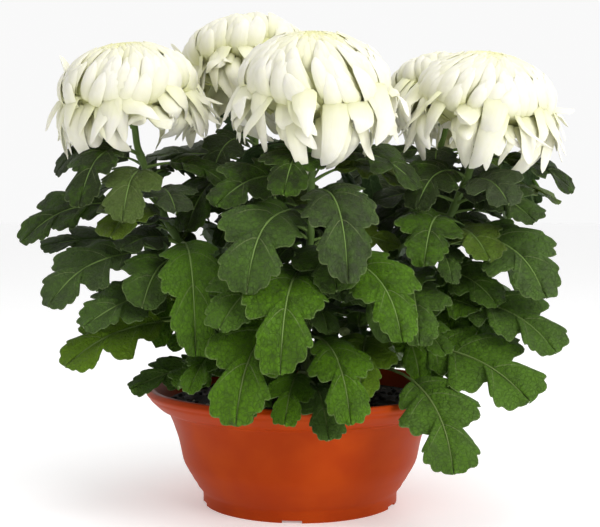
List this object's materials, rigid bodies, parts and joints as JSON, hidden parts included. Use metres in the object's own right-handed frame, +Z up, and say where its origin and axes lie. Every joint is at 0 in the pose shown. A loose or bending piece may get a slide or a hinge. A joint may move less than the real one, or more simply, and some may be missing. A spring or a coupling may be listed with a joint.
{
  "type": "pot chrysanthemum",
  "caption": "White-flowered chrysanthemum growing in a flared bowl: leafy upright stems with lobed leaves carry large incurved blooms of layered petals.",
  "frame": {"origin": "centre of the pot's foot, on the surface that the pot stands on", "axes": "+Z up along the pot's axis, -Y towards the side that the front bloom leans to, +X to the right seen from that side"},
  "size_m": [0.4509, 0.3519, 0.4188],
  "materials": {
    "terracotta_plastic": "satin moulded plastic, terracotta orange",
    "soil": "dark crumbly potting soil",
    "leaf_green": "satin green leaf and stem, dark above, paler veins",
    "petal_white": "soft creamy white petal, greenish yellow in the folds"
  },
  "bodies": {
    "root": {"pot": "terracotta_plastic", "soil": "soil", "stem_left": "leaf_green", "stem_front": "leaf_green", "stem_right": "leaf_green", "stem_back_left": "leaf_green", "stem_back_right": "leaf_green", "bloom_left": "petal_white", "bloom_front": "petal_white", "bloom_right": "petal_white", "bloom_back_left": "petal_white", "bloom_back_right": "petal_white"}
  },
  "joints": []
}
